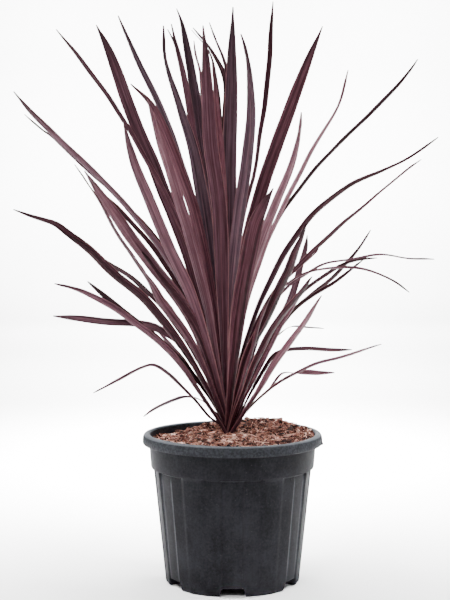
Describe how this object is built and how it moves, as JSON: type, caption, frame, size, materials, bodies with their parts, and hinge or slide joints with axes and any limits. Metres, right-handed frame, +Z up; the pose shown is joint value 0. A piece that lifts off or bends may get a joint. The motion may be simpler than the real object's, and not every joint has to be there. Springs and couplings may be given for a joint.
{
  "type": "potted black night cordyline",
  "caption": "Potted black night cordyline: a fountain of long, narrow, dark purple leaves from a short stem, in a fluted dark nursery pot filled with bark compost.",
  "frame": {"origin": "middle of the pot's underside, on the table", "axes": "+Z up, +X to the right and +Y away as the plant is seen from its front, with a drain notch facing -Y"},
  "size_m": [0.5846, 0.6195, 0.78],
  "materials": {
    "pot_plastic": "satin, lightly scuffed dark grey",
    "compost": "loose, matte bark and coir",
    "leaf": "satin leaf surface with fine lengthwise veins"
  },
  "bodies": {
    "root": {"pot": "pot_plastic", "soil": "compost", "cordyline": "leaf"}
  },
  "joints": []
}
